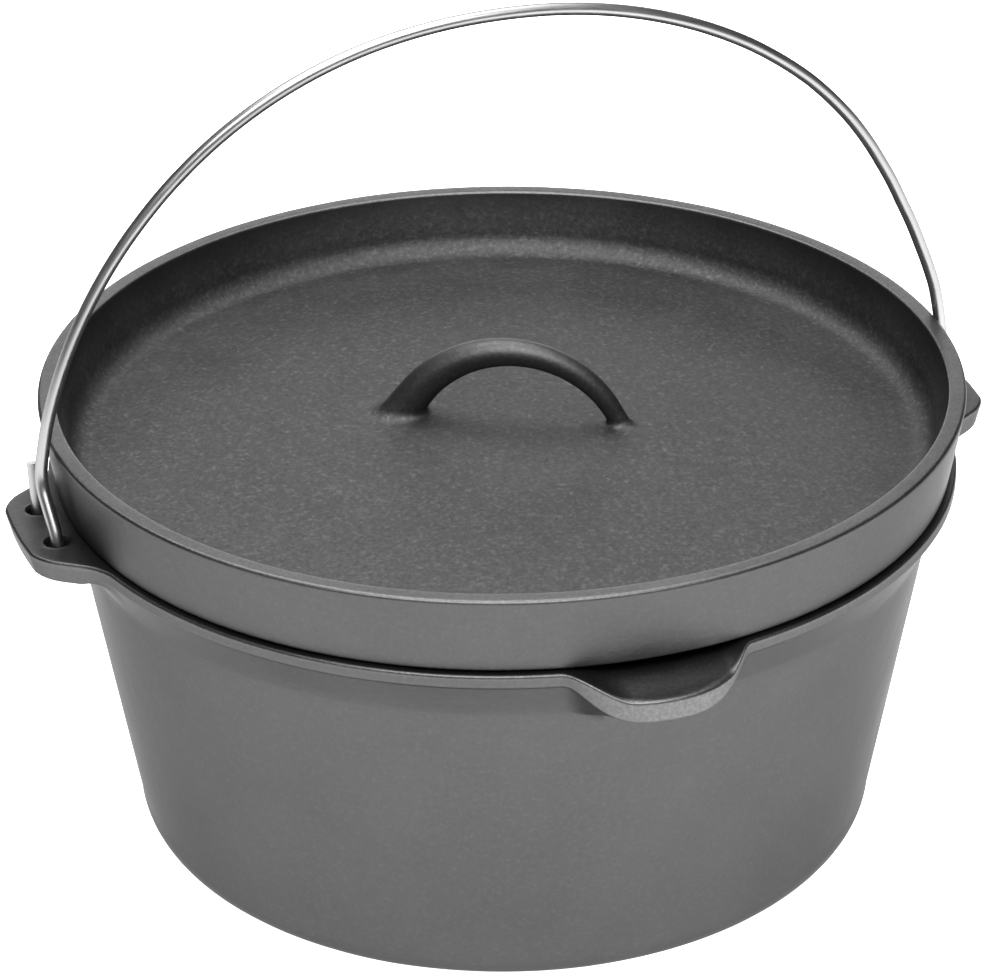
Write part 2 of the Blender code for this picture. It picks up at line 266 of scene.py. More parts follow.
def add(tree, kind, settings=None, **links):
    """Adds a node with its settings. A link is a socket of another node, or a value for the socket."""
    node = tree.nodes.new(kind)
    for key, value in (settings or {}).items():
        setattr(node, key, value)
    for key, value in links.items():
        name = key.replace("_", " ")
        socket = node.inputs[int(key[1:])] if key[0] == "_" else node.inputs[name]
        if isinstance(value, bpy.types.NodeSocket):
            tree.links.new(value, socket)
        else:
            socket.default_value = value
    return node


def shape_tree(name, sizes):
    """A geometry node tree with a geometry input and output, and a named input for each size."""
    tree = bpy.data.node_groups.new(name, "GeometryNodeTree")
    tree.interface.new_socket("Geometry", in_out="INPUT", socket_type="NodeSocketGeometry")
    for label, kind in sizes:
        tree.interface.new_socket(label, in_out="INPUT", socket_type=kind)
    tree.interface.new_socket("Geometry", in_out="OUTPUT", socket_type="NodeSocketGeometry")
    return tree, tree.nodes.new("NodeGroupInput").outputs, tree.nodes.new("NodeGroupOutput").inputs


def run_tree(obj, tree, **values):
    """Puts a tree on an object with the values of its inputs, and makes the result a plain mesh."""
    modifier = obj.modifiers.new(tree.name, "NODES")
    modifier.node_group = tree
    for item in tree.interface.items_tree:
        key = item.name.replace(" ", "_").lower()
        if item.in_out == "INPUT" and key in values:
            modifier[item.identifier] = values[key]
    return make_plain(obj)


def turning_tree():
    """Turns a section, drawn as a line of points from +X on, about Z into a closed skin."""
    tree, given, result = shape_tree("Turned section", [("Steps Round", "NodeSocketInt")])
    size = add(tree, "GeometryNodeAttributeDomainSize", Geometry=given["Geometry"])
    columns = add(tree, "ShaderNodeMath", {"operation": "ADD"}, _0=given["Steps Round"], _1=1.0)
    grid = add(
        tree,
        "GeometryNodeMeshGrid",
        Vertices_X=columns.outputs[0],
        Vertices_Y=size.outputs["Point Count"],
    )
    index = add(tree, "GeometryNodeInputIndex").outputs[0]
    share = add(tree, "ShaderNodeMath", {"operation": "DIVIDE"}, _0=index, _1=size.outputs["Point Count"])
    column = add(tree, "ShaderNodeMath", {"operation": "FLOOR"}, _0=share.outputs[0])
    row = add(tree, "ShaderNodeMath", {"operation": "MODULO"}, _0=index, _1=size.outputs["Point Count"])
    place = add(
        tree,
        "GeometryNodeSampleIndex",
        {"data_type": "FLOAT_VECTOR", "domain": "POINT"},
        Geometry=given["Geometry"],
        Value=add(tree, "GeometryNodeInputPosition").outputs[0],
        Index=row.outputs[0],
    )
    step = add(tree, "ShaderNodeMath", {"operation": "DIVIDE"}, _0=2 * math.pi, _1=given["Steps Round"])
    turn = add(tree, "ShaderNodeMath", {"operation": "MULTIPLY"}, _0=column.outputs[0], _1=step.outputs[0])
    turned = add(
        tree,
        "ShaderNodeVectorRotate",
        {"rotation_type": "Z_AXIS"},
        Vector=place.outputs["Value"],
        Angle=turn.outputs[0],
    )
    set_place = add(
        tree, "GeometryNodeSetPosition", Geometry=grid.outputs["Mesh"], Position=turned.outputs[0]
    )
    merged = add(tree, "GeometryNodeMergeByDistance", Geometry=set_place.outputs[0], Distance=0.01 * MM)
    real = add(tree, "GeometryNodeRealizeInstances", Geometry=merged.outputs[0])
    tree.links.new(real.outputs[0], result["Geometry"])
    return tree


def cast_skin_tree():
    """Pulls a casting's skin in by the low waves that the sand mould leaves."""
    sizes = [
        ("Wave Depth", "NodeSocketFloat"),
        ("Wave Length", "NodeSocketFloat"),
        ("Pit Depth", "NodeSocketFloat"),
        ("Pit Length", "NodeSocketFloat"),
        ("Seed", "NodeSocketFloat"),
        ("Material", "NodeSocketMaterial"),
    ]
    tree, given, result = shape_tree("Cast skin", sizes)
    normal = add(tree, "GeometryNodeInputNormal").outputs[0]
    position = add(tree, "GeometryNodeInputPosition").outputs[0]
    amounts = []
    for depth, length in (("Wave Depth", "Wave Length"), ("Pit Depth", "Pit Length")):
        scale = add(tree, "ShaderNodeMath", {"operation": "DIVIDE"}, _0=1.0, _1=given[length])
        noise = add(
            tree,
            "ShaderNodeTexNoise",
            {"noise_dimensions": "4D"},
            Vector=position,
            W=given["Seed"],
            Scale=scale.outputs[0],
            Detail=1.0,
        )
        height = noise.outputs[0]
        amount = add(tree, "ShaderNodeMath", {"operation": "MULTIPLY"}, _0=height, _1=given[depth])
        amounts.append(amount.outputs[0])
    total = add(tree, "ShaderNodeMath", {"operation": "ADD"}, _0=amounts[0], _1=amounts[1])
    keep = add(tree, "GeometryNodeInputNamedAttribute", {"data_type": "FLOAT"}, Name="skin")
    share = add(tree, "ShaderNodeMath", {"operation": "MULTIPLY"}, _0=total.outputs[0], _1=keep.outputs[0])
    inward = add(tree, "ShaderNodeMath", {"operation": "MULTIPLY"}, _0=share.outputs[0], _1=-1.0)
    move = add(tree, "ShaderNodeVectorMath", {"operation": "SCALE"}, Vector=normal, Scale=inward.outputs[0])
    moved = add(tree, "GeometryNodeSetPosition", Geometry=given["Geometry"], Offset=move.outputs[0])
    real = add(tree, "GeometryNodeRealizeInstances", Geometry=moved.outputs[0])
    finish = add(tree, "GeometryNodeSetMaterial", Geometry=real.outputs[0], Material=given["Material"])
    tree.links.new(finish.outputs[0], result["Geometry"])
    return tree


def wire_tree():
    """Draws a round wire along a curve, with closed ends."""
    sizes = [
        ("Wire Diameter", "NodeSocketFloat"),
        ("Sides", "NodeSocketInt"),
        ("Material", "NodeSocketMaterial"),
    ]
    tree, given, result = shape_tree("Drawn wire", sizes)
    radius = add(tree, "ShaderNodeMath", {"operation": "MULTIPLY"}, _0=given["Wire Diameter"], _1=0.5)
    ring = add(
        tree,
        "GeometryNodeCurvePrimitiveCircle",
        {"mode": "RADIUS"},
        Resolution=given["Sides"],
        Radius=radius.outputs[0],
    )
    swept = add(
        tree,
        "GeometryNodeCurveToMesh",
        Curve=given["Geometry"],
        Profile_Curve=ring.outputs["Curve"],
        Fill_Caps=True,
    )
    real = add(tree, "GeometryNodeRealizeInstances", Geometry=swept.outputs[0])
    finish = add(tree, "GeometryNodeSetMaterial", Geometry=real.outputs[0], Material=given["Material"])
    tree.links.new(finish.outputs[0], result["Geometry"])
    return tree


# Materials


def linear(hex_colour):
    """An sRGB hex colour as the linear values that a shader takes."""
    channels = [int(hex_colour[i : i + 2], 16) / 255 for i in (0, 2, 4)]
    return (*(c / 12.92 if c <= 0.04045 else ((c + 0.055) / 1.055) ** 2.4 for c in channels), 1.0)


def new_material(name):
    material = bpy.data.materials.new(name)
    material.use_nodes = True
    return material, material.node_tree, material.node_tree.nodes["Principled BSDF"]


def mixed(tree, share, under, over):
    """One colour laid over another by a share."""
    node = add(tree, "ShaderNodeMix", {"data_type": "RGBA"}, _0=share, _6=under, _7=over)
    return node.outputs[2]


def seasoned_iron(name, seed, dark, light, roughness):
    """Sand-cast grey iron, oil-seasoned: a dark, satin skin with the grain of the moulding sand."""
    material, tree, shader = new_material(name)
    shader.inputs["Metallic"].default_value = 1.0
    # The oil skin takes the glare off the iron where it is seen edge on.
    shader.inputs["Specular Tint"].default_value = linear("bebebe")
    place = add(tree, "ShaderNodeTexCoord").outputs["Object"]

    def noise(size, detail, rough):
        return add(
            tree,
            "ShaderNodeTexNoise",
            {"noise_dimensions": "4D"},
            Vector=place,
            W=seed,
            Scale=1 / (size * MM),
            Detail=detail,
            Roughness=rough,
        ).outputs[0]

    def spread(value, low, high, to_low=0.0, to_high=1.0):
        node = add(tree, "ShaderNodeMapRange", Value=value, _1=low, _2=high, _3=to_low, _4=to_high)
        return node.outputs[0]

    def times(a, b):
        return add(tree, "ShaderNodeMath", {"operation": "MULTIPLY"}, _0=a, _1=b).outputs[0]

    # The oil has baked on a little unevenly: slow light and dark patches, the size of a thumb.
    patches = noise(30, 3.0, 0.5)
    colour = mixed(tree, spread(patches, 0.3, 0.7), linear(dark), linear(light))
    # Moulding sand is about 0.3 mm; it is drawn at 1.2 mm so that it shows from a metre and a half.
    grain = noise(1.2, 3.0, 0.65)
    open_sand = add(tree, "ShaderNodeAttribute", {"attribute_name": "open_sand"}).outputs["Fac"]
    specks = times(spread(grain, 0.54, 0.8), open_sand)
    colour = mixed(tree, specks, colour, linear("6c6c6c"))
    # Single coarse grains stand out of the oil where the mould was not brushed smooth.
    coarse = times(spread(noise(1.7, 1.0, 0.4), 0.6, 0.75), spread(open_sand, 0.3, 0.8, 0.0, 0.25))
    colour = mixed(tree, coarse, colour, linear("787878"))
    # Between the grains the oil lies thicker and darker.
    hollows = times(spread(grain, 0.5, 0.25), open_sand)
    colour = mixed(tree, times(hollows, 0.6), colour, linear("2c2c2c"))
    # Handling has rubbed the oil thin along the edges, most on the tops of the grains. The lighter colour
    # there is partly that wear and partly a painted highlight, where the round edges catch the light.
    worn_and_sheen = add(tree, "ShaderNodeAttribute", {"attribute_name": "wear_and_sheen"}).outputs["Fac"]
    rubbed_and_highlit = times(worn_and_sheen, spread(noise(0.9, 2.0, 0.6), 0.35, 0.7, 0.14, 0.36))
    colour = mixed(tree, rubbed_and_highlit, colour, linear("8c8c8c"))
    tree.links.new(colour, shader.inputs["Base Color"])
    # Open sand scatters the light more widely than the skin that was brushed smooth.
    rough = spread(patches, 0.3, 0.7, roughness - 0.04, roughness + 0.04)
    rougher = spread(open_sand, 0.2, 0.8, 0.0, 0.16)
    rough = add(tree, "ShaderNodeMath", {"operation": "ADD"}, _0=rough, _1=rougher).outputs[0]
    smoother = times(worn_and_sheen, 0.06)
    rough = add(tree, "ShaderNodeMath", {"operation": "SUBTRACT"}, _0=rough, _1=smoother).outputs[0]
    tree.links.new(rough, shader.inputs["Roughness"])
    # Low, soft unevenness of the mould under the grain itself.
    swell = add(tree, "ShaderNodeBump", Strength=1.0, Distance=0.12 * MM, Height=noise(7, 2.0, 0.5))
    depth = spread(open_sand, 0.0, 1.0, 0.2, 1.0)
    pebble = add(
        tree,
        "ShaderNodeBump",
        Strength=depth,
        Distance=0.16 * MM,
        Height=grain,
        Normal=swell.outputs[0],
    )
    tree.links.new(pebble.outputs[0], shader.inputs["Normal"])
    return material


def bright_wire():
    """Cold-drawn steel wire, bright zinc plated: smooth, with faint lines along its length."""
    material, tree, shader = new_material("bright_zinc_plated_steel_wire")
    shader.inputs["Metallic"].default_value = 1.0
    shader.inputs["Specular Tint"].default_value = linear("a8a8a8")
    drawn = add(tree, "ShaderNodeAttribute", {"attribute_name": "drawn"}).outputs["Vector"]
    # The die's fine scratches run along the wire; they make its light edge faintly streaky.
    lines = add(tree, "ShaderNodeTexNoise", Vector=drawn, Scale=4.0, Detail=3.0, Roughness=0.6).outputs[0]
    # The zinc has dulled in slow, soft patches a few centimetres long.
    dull = add(tree, "ShaderNodeTexNoise", Vector=drawn, Scale=0.6, Detail=1.0, Roughness=0.5).outputs[0]
    colour = mixed(tree, dull, linear("868687"), linear("a2a2a3"))
    tree.links.new(colour, shader.inputs["Base Color"])
    rough = add(tree, "ShaderNodeMapRange", Value=lines, _1=0.3, _2=0.7, _3=0.26, _4=0.38).outputs[0]
    tree.links.new(rough, shader.inputs["Roughness"])
    scratches = add(tree, "ShaderNodeBump", Strength=0.5, Distance=0.02 * MM, Height=lines)
    tree.links.new(scratches.outputs[0], shader.inputs["Normal"])
    return material


# Pot skin and casting


def wall_radius(height):
    """The pot's outer radius where its wall is a plain cone."""
    return WALL_TOP_RADIUS - (POT_HEIGHT - RIM_EDGE - height) * math.tan(POT_TAPER)


def angles_round():
    """Turns about Z, a degree apart, and a quarter of a degree apart round the ears and the spout."""
    turns = []
    turn = 0.0
    while turn < 359.99:
        turns.append(turn)
        from_ear = min(turn % 180, 180 - turn % 180)
        near = from_ear < 17 or abs(turn - 270) < 15
        turn += 0.25 if near else 1.0
    return np.radians(turns)


def ear_reach(turn):
    """How far out the ear's outline is, at a turn away from the ear's middle."""
    flare = math.atan2(EAR_ROOT_HALF_WIDTH - EAR_TIP_HALF_WIDTH, EAR_TIP - MOUTH_RADIUS)
    corner_side = EAR_TIP_HALF_WIDTH - EAR_CORNER * (1 - math.sin(flare)) / math.cos(flare)
    outline = [(EAR_TIP, 0.0)]
    outline += arc((EAR_TIP - EAR_CORNER, corner_side), EAR_CORNER, 0, 90 - math.degrees(flare), 24)
    last = outline[-1]
    outline.append((last[0] - 40, last[1] + 40 * math.tan(flare)))
    fine = []
    for (x1, y1), (x2, y2) in zip(outline, outline[1:]):
        for t in np.linspace(0, 1, 40, endpoint=False):
            fine.append((x1 + (x2 - x1) * t, y1 + (y2 - y1) * t))
    fine = np.array(fine)
    return np.interp(turn, np.arctan2(fine[:, 1], fine[:, 0]), np.hypot(fine[:, 0], fine[:, 1]))


def spout_dip(x, y):
    """How far the rim's top is lowered at a place: the trough deepens outward, between two ramps."""
    ramp = np.where(x < 0, SPOUT_RAMP_LEFT, SPOUT_RAMP_RIGHT)
    dip = SPOUT_DIP * (1 - smooth_step((np.abs(x) - SPOUT_HALF_WIDTH + ramp) / ramp))
    start = LID_FOOT_RADIUS - TROUGH_START
    fall = smooth_step((np.hypot(x, y) - start) / (RIM_RADIUS + SPOUT_REACH - start))
    return np.where(y < 0, dip * (0.4 + 0.6 * fall), 0.0)


def pot_skin():
    """Radius and height of the pot's skin: a row for each turn, from the floor's middle inside round
    the rim to the base's middle. The last value is how round the edge is there, for the lighter edge
    colour: edge wear and a painted highlight."""
    turns = angles_round()
    ear_turn = np.abs((turns + math.pi / 2) % math.pi - math.pi / 2)
    spout_turn = np.abs((turns - 1.5 * math.pi + math.pi) % (2 * math.pi) - math.pi)
    # The ear's and the spout's outlines are laid over the round rim, each only near its own turn.
    ear_out = ear_reach(np.minimum(ear_turn, 0.3))
    spout_share = np.minimum(spout_turn / math.asin(SPOUT_HALF_WIDTH / RIM_RADIUS), 1.3)
    inset = SPOUT_START_INSET
    spout_out = RIM_RADIUS - inset + (SPOUT_REACH + inset) * (1 - spout_share**SPOUT_CURVE)
    plain = np.full_like(turns, RIM_RADIUS)
    out = soft_max(plain, np.where(ear_turn < 0.29, ear_out, 100.0), EAR_BLEND)
    out = soft_max(out, np.where(spout_turn < 0.3, spout_out, 100.0), SPOUT_BLEND)
    out = np.minimum(out, EAR_TIP)
    ear = smooth_step((out - RIM_RADIUS) / 6.0) * (ear_turn < 0.35)
    spout = smooth_step((out - RIM_RADIUS) / SPOUT_REACH) * (spout_turn < 0.35)

    # The third list lightens the colour: edge wear, and a painted highlight on the round edges and the
    # spout's lip.
    radii, heights, wear_and_sheen = [], [], []

    def station(radius, height, edge=0.0):
        radii.append(radius + 0 * turns)
        heights.append(height + 0 * turns)
        wear_and_sheen.append(edge + 0 * turns)

    inner_corner = BASE_CORNER - POT_WALL
    across = POT_WALL / math.cos(POT_TAPER)
    inner_low = POT_FLOOR + inner_corner
    corner_middle = wall_radius(inner_low) - across - inner_corner
    for share in np.linspace(0, 1, 14, endpoint=False):
        station(share * corner_middle, POT_FLOOR)
    for r, z in arc((corner_middle, inner_low), inner_corner, -90, -math.degrees(POT_TAPER), 8):
        station(r, z)
    low = heights[-1][0]

    def top_at(radius):
        return POT_HEIGHT - spout_dip(radius * np.cos(turns), radius * np.sin(turns))

    mouth_top = top_at(MOUTH_RADIUS)
    for share in np.linspace(0, 1, 19)[1:]:
        z = low + (mouth_top - EDGE_ROUND - low) * share
        station(np.minimum(wall_radius(z) - across, MOUTH_RADIUS), z)
    inner = np.minimum(wall_radius(mouth_top) - across, MOUTH_RADIUS)
    for t in np.radians([22.5, 45, 67.5, 90]):
        station(inner + EDGE_ROUND * (1 - math.cos(t)), mouth_top - EDGE_ROUND * (1 - math.sin(t)), 0.6)
    edge = RIM_ROUND
    for share in np.linspace(0, 1, 15)[1:]:
        r = inner + EDGE_ROUND + (out - edge - inner - EDGE_ROUND) * share
        station(r, top_at(r), 0.8 * spout + (0.0 if share < 0.9 else 0.2))
    out_top = top_at(out)
    for t in np.radians([18, 36, 54, 72, 90]):
        station(out - edge * (1 - math.sin(t)), out_top - edge * (1 - math.cos(t)), 0.5 + 0.5 * spout)
    low_edge = POT_HEIGHT - RIM_EDGE - (EAR_THICKNESS - RIM_EDGE) * ear
    low_edge = low_edge - (SPOUT_DIP + SPOUT_FACE - RIM_EDGE) * spout
    foot = out - EAR_DRAFT * ear
    for share in (0.25, 0.5, 0.75, 1.0):
        z = out_top - edge + (low_edge + edge - out_top + edge) * share
        station(out + (foot - out) * share, z, 0.15 + 0.85 * spout)
    for t in np.radians([22.5, 45, 67.5]):
        r = foot - edge * (1 - math.cos(t)) * 0.7
        station(r, low_edge + edge * (1 - math.sin(t)), 0.1 + 0.6 * spout)

    # From the rim's lower edge to the wall: a cove at the plain rim, a level underside and then a
    # cove at the ears, and a straight slope under the spout.
    wall_end = POT_HEIGHT - RIM_EDGE - RIM_COVE
    start = foot - 0.7 * edge
    count = 18
    for i in range(count + 1):
        s = i / count
        z_rim = low_edge - (low_edge - wall_end) * s
        r_rim = wall_radius(z_rim) + (start - wall_radius(low_edge)) * (1 - s) ** COVE_CURVE
        t = np.clip((s - 0.55) / 0.45, 0, 1)
        z_ear = low_edge - (low_edge - wall_end) * t
        reach = start + (EAR_ROOT_RADIUS - start) * min(s / 0.55, 1)
        r_ear = wall_radius(z_ear) + (EAR_ROOT_RADIUS - wall_radius(low_edge)) * (1 - t) ** COVE_CURVE
        r_ear = np.where(s < 0.55, reach, r_ear)
        low_spout = POT_HEIGHT - SPOUT_DIP - SPOUT_FACE - SPOUT_UNDERCUT
        z_spout = low_edge - (low_edge - low_spout) * s
        r_spout = start + (wall_radius(low_spout) - start) * s
        plain_share = 1 - ear - spout
        station(
            plain_share * r_rim + ear * r_ear + spout * r_spout,
            plain_share * z_rim + ear * z_ear + spout * z_spout,
        )
    end_z = heights[-1]
    for share in np.linspace(0, 1, 34)[1:]:
        z = end_z + (BASE_CORNER - end_z) * share
        station(wall_radius(z), z)
    centre = (wall_radius(BASE_CORNER) - BASE_CORNER, BASE_CORNER)
    for r, z in arc(centre, BASE_CORNER, -math.degrees(POT_TAPER), -90, 14):
        station(r, z)
    base = radii[-1][0]
    for share in np.linspace(0, 1, 12)[1:]:
        station(base * (1 - share), 0.0)
    return turns, np.array(radii).T, np.array(heights).T, np.array(wear_and_sheen).T


def hole_cutter(name, x, y):
    """A drill with a small countersink at both ends, standing through an ear."""
    top = EAR_THICKNESS / 2
    edge = 0.5
    r = EAR_HOLE_RADIUS
    profile = [(0, -9), (r + edge + 2, -9), (r + edge, -top + 0.15), (r, -top + edge + 0.15)]
    profile += [(rr, -z) for rr, z in reversed(profile)]
    steps = 40
    points = []
    for i in range(steps):
        turn = 2 * math.pi * i / steps
        for rr, z in profile:
            points.append((x + rr * math.cos(turn), y + rr * math.sin(turn), EAR_MIDDLE + z))
    obj = mesh_object(name, points, grid_faces(steps, len(profile), True))
    close_up(obj)
    return obj


def add_attribute(obj, name, values):
    attribute = obj.data.attributes.new(name, "FLOAT", "POINT")
    attribute.data.foreach_set("value", np.asarray(values, np.float32))


def make_pot(skin_tree, iron):
    turns, radii, heights, wear_and_sheen = pot_skin()
    x = radii * np.cos(turns)[:, None]
    y = radii * np.sin(turns)[:, None]
    points = np.stack([x, y, heights], axis=-1).reshape(-1, 3)
    rows, columns = radii.shape
    pot = mesh_object("pot_casting", points, grid_faces(rows, columns, True))
    # Lighter edges: edge wear and a painted highlight.
    add_attribute(pot, "wear_and_sheen", wear_and_sheen.reshape(-1))
    add_attribute(pot, "skin", (heights > 0.5).reshape(-1).astype(float))
    add_attribute(pot, "open_sand", np.full(rows * columns, CLOSED_SAND))
    close_up(pot)
    cutters = []
    for side in (1, -1):
        for end in (1, -1):
            cutters.append(hole_cutter(f"drill_{side}_{end}", side * EAR_HOLE_X, end * RING_RADIUS))
            cut(pot, cutters[-1])
    make_plain(pot)
    for cutter in cutters:
        bpy.data.objects.remove(cutter, do_unlink=True)
    run_tree(
        pot,
        skin_tree,
        wave_depth=WAVE_DEPTH * MM,
        wave_length=WAVE_LENGTH * MM,
        pit_depth=PIT_DEPTH * MM,
        pit_length=PIT_LENGTH * MM,
        seed=3.0,
        material=iron,
    )
    shade(pot, SHARP_EDGE)
    return pot


# Lid casting and loop handle


def dome_height(radius, middle=LID_DISH_MIDDLE):
    return middle - LID_DOME_RISE * (radius / LID_DISH_RADIUS) ** 2


def lid_section():
    """The lid's section from the edge of the middle patch, round the brim, to the middle below."""
    section = []
    corner_start = LID_DISH_RADIUS - LID_DISH_CORNER
    for r in np.linspace(LID_PATCH_RADIUS, corner_start, 26)[:-1]:
        section.append((r, dome_height(r)))
    middle = (corner_start, dome_height(corner_start) + LID_DISH_CORNER)
    lean = math.degrees(math.atan2(LID_INNER_RADIUS - LID_DISH_RADIUS, LID_TOP - middle[1]))
    section += arc(middle, LID_DISH_CORNER, -90, -lean / 2, 12)
    x1, z1 = section[-1]
    edge = EDGE_ROUND
    for share in np.linspace(0, 1, 8)[1:]:
        section.append((x1 + (LID_INNER_RADIUS - x1) * share, z1 + (LID_TOP - edge - z1) * share))
    section += arc((LID_INNER_RADIUS + edge, LID_TOP - edge), edge, 180, 90, 4)[1:]
    for share in (0.33, 0.66, 1.0):
        flat = LID_TOP_RADIUS - LID_INNER_RADIUS - edge - BRIM_ROUND
        section.append((LID_INNER_RADIUS + edge + flat * share, LID_TOP))
    section += arc((LID_TOP_RADIUS - BRIM_ROUND, LID_TOP - BRIM_ROUND), BRIM_ROUND, 90, -14, 8)[1:]
    x1, z1 = section[-1]
    for share in np.linspace(0, 1, 16)[1:]:
        z = z1 + (LID_BASE + LID_FOOT_ROUND - z1) * share
        section.append((x1 + (LID_FOOT_RADIUS - x1) * share, z))
    centre = (LID_FOOT_RADIUS - LID_FOOT_ROUND, LID_BASE + LID_FOOT_ROUND)
    section += arc(centre, LID_FOOT_ROUND, 0, -90, 4)[1:]
    ring_in = LID_RING_RADIUS - LID_RING_WIDTH
    low = LID_BASE - LID_RING_DEPTH
    for r in np.linspace(section[-1][0], LID_RING_RADIUS, 6)[1:]:
        section.append((r, LID_BASE))
    section += [(LID_RING_RADIUS - 0.5, low + 0.3), (LID_RING_RADIUS - 0.9, low), (ring_in + 0.5, low)]
    under = LID_DISH_MIDDLE - LID_PLATE
    section.append((ring_in, low + 0.4))
    for r in np.linspace(ring_in - LID_RING_DEPTH, 0, 24):
        section.append((r, dome_height(r, under)))
    return section


def handle_bar():
    """The loop's arc: the height of its feet, its radius, half its sweep and the way it runs."""
    half = HANDLE_SPAN / 2
    foot = dome_height(half)
    radius = (half**2 + HANDLE_RISE**2) / (2 * HANDLE_RISE)
    sweep = math.asin(half / radius)
    along = np.array([math.cos(HANDLE_TURN), math.sin(HANDLE_TURN), 0.0])
    return foot, radius, sweep, along


def handle_rings(sides=40):
    """The loop's skin as rings, from the thick foot's outer fillet to the thin foot's."""
    foot, radius, sweep, along = handle_bar()
    side = np.array([-along[1], along[0], 0.0])
    up = np.array([0.0, 0.0, 1.0])
    turns = np.linspace(0, 2 * math.pi, sides, endpoint=False)
    thick = [HANDLE_THICK_END, HANDLE_MIDDLE, HANDLE_THIN_END]

    def ring(angle):
        """The bar's ring at an angle from the top of the loop, positive towards the thick end."""
        share = 0.5 - angle / sweep / 2
        diameter = np.interp(share, [0, 0.5, 1], thick)
        height = foot + HANDLE_RISE - radius + radius * math.cos(angle)
        middle = along * (-radius * math.sin(angle)) + up * height
        middle[0] += HANDLE_SHIFT
        outward = along * (-math.sin(angle)) + up * math.cos(angle)
        return middle + diameter / 2 * (np.outer(np.cos(turns), outward) + np.outer(np.sin(turns), side))

    def floor_point(upper, lower):
        """Where the line from one ring's point through the next meets the dish."""
        direction = lower - upper
        t = (dome_height(np.hypot(lower[:, 0], lower[:, 1])) - upper[:, 2]) / direction[:, 2]
        point = upper + direction * t[:, None]
        point[:, 2] = dome_height(np.hypot(point[:, 0], point[:, 1]))
        return point

    rings = []
    feet = []
    for end, fillet in ((1, THICK_FOOT_FILLET), (-1, THIN_FOOT_FILLET)):
        last = sweep * 0.78 if end == 1 else sweep * 0.86
        start = ring(end * last)
        onward = ring(end * (last + 0.02))
        corner = floor_point(start, onward)
        centre = corner.mean(axis=0)
        away = corner - centre
        away[:, 2] = 0
        away /= np.linalg.norm(away, axis=1)[:, None]
        floor = corner + away * fillet
        floor[:, 2] = dome_height(np.hypot(floor[:, 0], floor[:, 1]))
        share = np.minimum(1.0, fillet / np.linalg.norm(start - corner, axis=1))
        above = corner + (start - corner) * share[:, None]
        foot_rings = []
        for t in np.linspace(0, 1, 9):
            foot_rings.append((1 - t) ** 2 * above + 2 * t * (1 - t) * corner + t * t * floor)
        straight = [start + (above - start) * t for t in (0.0, 0.5)]
        feet.append(straight + foot_rings)
        if end == 1:
            span = (last, sweep * 0.86)
    for angle in np.linspace(span[0], -span[1], 60)[1:-1]:
        rings.append(ring(angle))
    return list(reversed(feet[0])) + rings + feet[1]


def make_handle_and_patch():
    """The loop handle and the part of the dish's floor round it, as one skin."""
    rings = handle_rings()
    sides = len(rings[0])
    points = [tuple(p) for r in rings for p in r]
    faces = []
    for i in range(len(rings) - 1):
        for k in range(sides):
            j = (k + 1) % sides
            faces.append((i * sides + k, i * sides + j, (i + 1) * sides + j, (i + 1) * sides + k))
    handle = mesh_object("handle_skin", points, faces)

    holes = [np.array(rings[0])[:, :2], np.array(rings[-1])[:, :2]]
    flat = []
    edges = []
    for outline in holes:
        first = len(flat)
        flat += [tuple(p) for p in outline]
        edges += [(first + k, first + (k + 1) % sides) for k in range(sides)]
    first = len(flat)
    steps = 360
    for i in range(steps):
        t = 2 * math.pi * i / steps
        flat.append((LID_PATCH_RADIUS * math.cos(t), LID_PATCH_RADIUS * math.sin(t)))
    edges += [(first + i, first + (i + 1) % steps) for i in range(steps)]

    def inside(point, outline):
        x, y = point
        x1, y1 = outline[:, 0], outline[:, 1]
        x2, y2 = np.roll(x1, -1), np.roll(y1, -1)
        crossing = (y1 > y) != (y2 > y)
        with np.errstate(divide="ignore", invalid="ignore"):
            where = x1 + (y - y1) / (y2 - y1) * (x2 - x1)
        return (np.count_nonzero(crossing & (x < where)) % 2) == 1

    spacing = 1.6
    rows = int(LID_PATCH_RADIUS / spacing / 0.866) + 1
    for j in range(-rows, rows + 1):
        for i in range(-rows - 8, rows + 9):
            point = ((i + 0.5 * (j % 2)) * spacing, j * spacing * 0.866)
            if math.hypot(*point) > LID_PATCH_RADIUS - 1.0:
                continue
            near = min(np.min(np.hypot(*(outline - point).T)) for outline in holes)
            if near > 0.6 and not any(inside(point, outline) for outline in holes):
                flat.append(point)
    result = delaunay_2d_cdt([Vector(p) for p in flat], edges, [], 0, 1e-6)
    places = np.array([tuple(p) for p in result[0]])
    faces = []
    for face in result[2]:
        middle = places[list(face)].mean(axis=0)
        if math.hypot(*middle) < LID_PATCH_RADIUS and not any(inside(middle, o) for o in holes):
            faces.append(face)
    heights = dome_height(np.hypot(places[:, 0], places[:, 1]))
    patch = mesh_object("dish_floor_patch", np.column_stack([places, heights]), faces)
    return handle, patch


